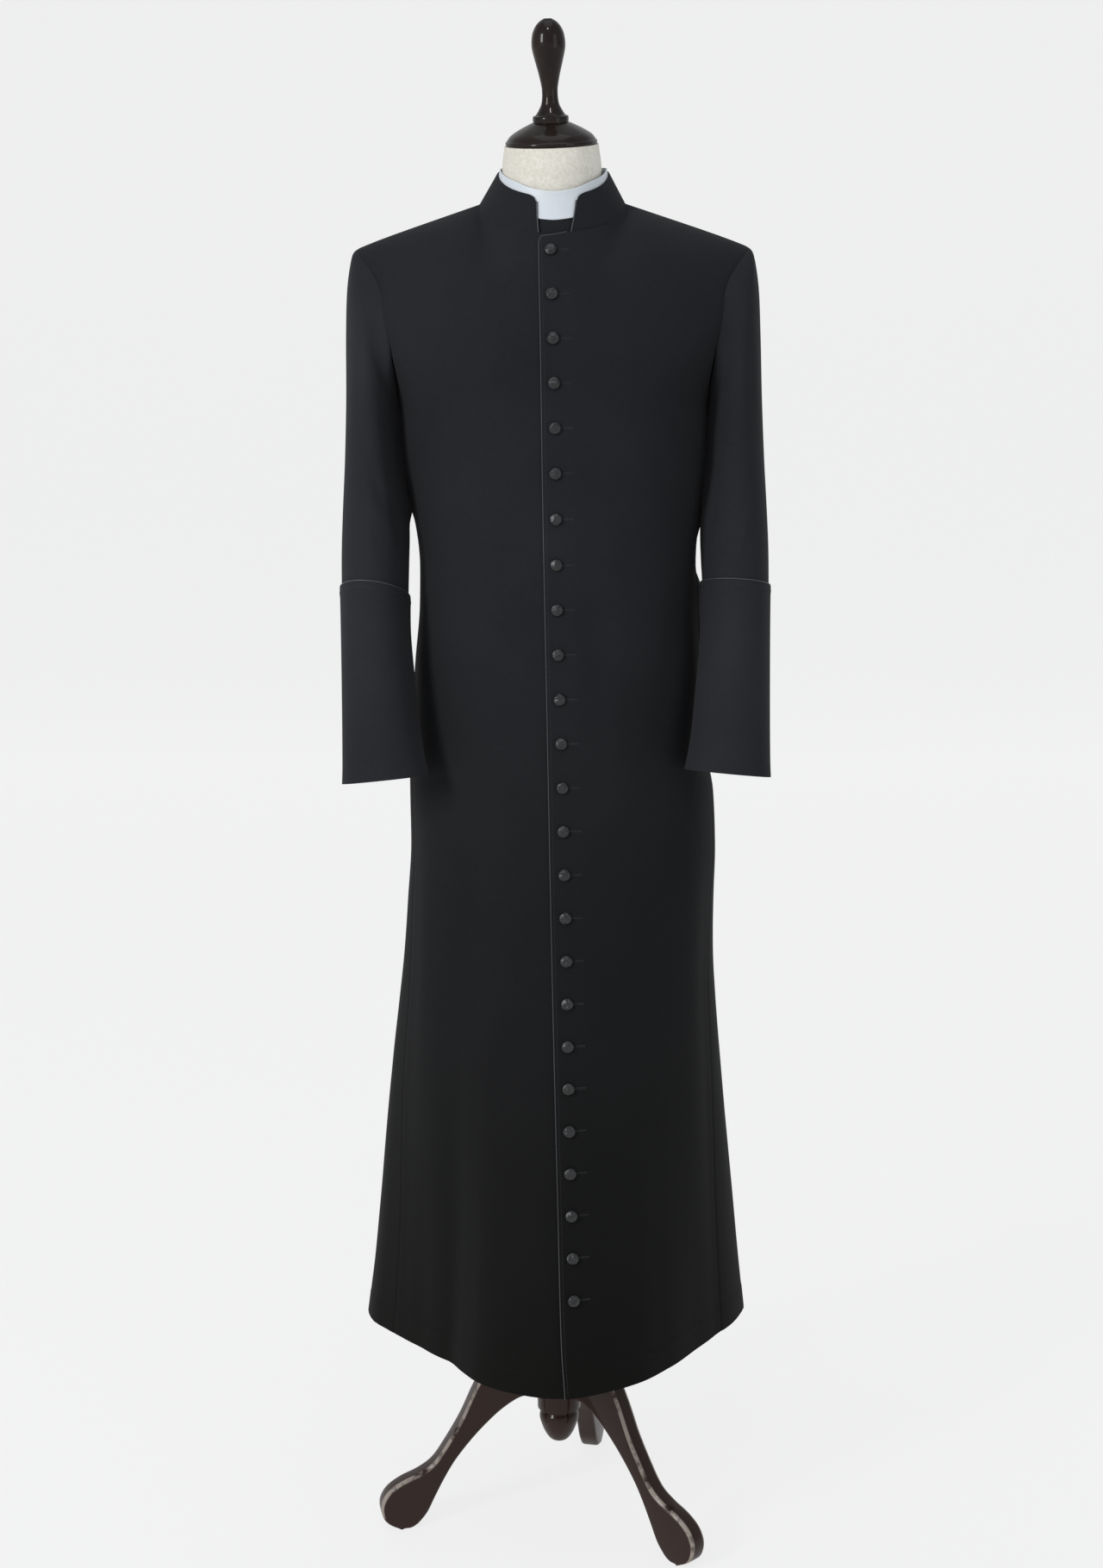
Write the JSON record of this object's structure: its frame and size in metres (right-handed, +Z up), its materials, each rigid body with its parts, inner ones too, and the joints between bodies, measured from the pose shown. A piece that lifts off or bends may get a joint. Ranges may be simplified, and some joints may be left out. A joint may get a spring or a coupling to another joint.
{
  "type": "cassock on a dress form with a wooden tripod stand",
  "caption": "Ankle-length black cassock with a standing collar, white collar insert and covered buttons, on a cream dress form with a carved wooden tripod stand.",
  "frame": {"origin": "on the floor, in the middle of the whole object's footprint, below the form's pole", "axes": "-Y is the buttoned front of the cassock, +X is the wearer's left, +Z is up from the floor"},
  "size_m": [0.5245, 0.5282, 1.8873],
  "materials": {
    "cassock_wool": "fine matt wool twill, charcoal black",
    "button_satin": "satin-covered dome buttons, black",
    "piping_cord": "thin corded piping, grey black with a slight sheen",
    "collar_white": "smooth white collar insert, cool white",
    "form_linen": "cream linen cover of the dress form",
    "stand_wood": "dark espresso wood, polished, with worn edges"
  },
  "bodies": {
    "root": {"back_left": "cassock_wool", "back_right": "cassock_wool", "button_01": "button_satin", "button_02": "button_satin", "button_03": "button_satin", "button_04": "button_satin", "button_05": "button_satin", "button_06": "button_satin", "button_07": "button_satin", "button_08": "button_satin", "button_09": "button_satin", "button_10": "button_satin", "button_11": "button_satin", "button_12": "button_satin", "button_13": "button_satin", "button_14": "button_satin", "button_15": "button_satin", "button_16": "button_satin", "button_17": "button_satin", "button_18": "button_satin", "button_19": "button_satin", "button_20": "button_satin", "button_21": "button_satin", "button_22": "button_satin", "button_23": "button_satin", "button_24": "button_satin", "button_25": "button_satin", "collar": "cassock_wool", "collar_insert": "collar_white", "collar_piping_left": "piping_cord", "collar_piping_right": "piping_cord", "cuff_left": "cassock_wool", "cuff_piping_left": "piping_cord", "cuff_piping_right": "piping_cord", "cuff_right": "cassock_wool", "finial": "stand_wood", "front_left": "cassock_wool", "front_piping": "piping_cord", "front_right": "cassock_wool", "hub": "stand_wood", "leg_back": "stand_wood", "leg_left": "stand_wood", "leg_right": "stand_wood", "neck_cap": "stand_wood", "neck_tab": "cassock_wool", "pole": "stand_wood", "sleeve_left": "cassock_wool", "sleeve_right": "cassock_wool", "torso": "form_linen"}
  },
  "joints": []
}
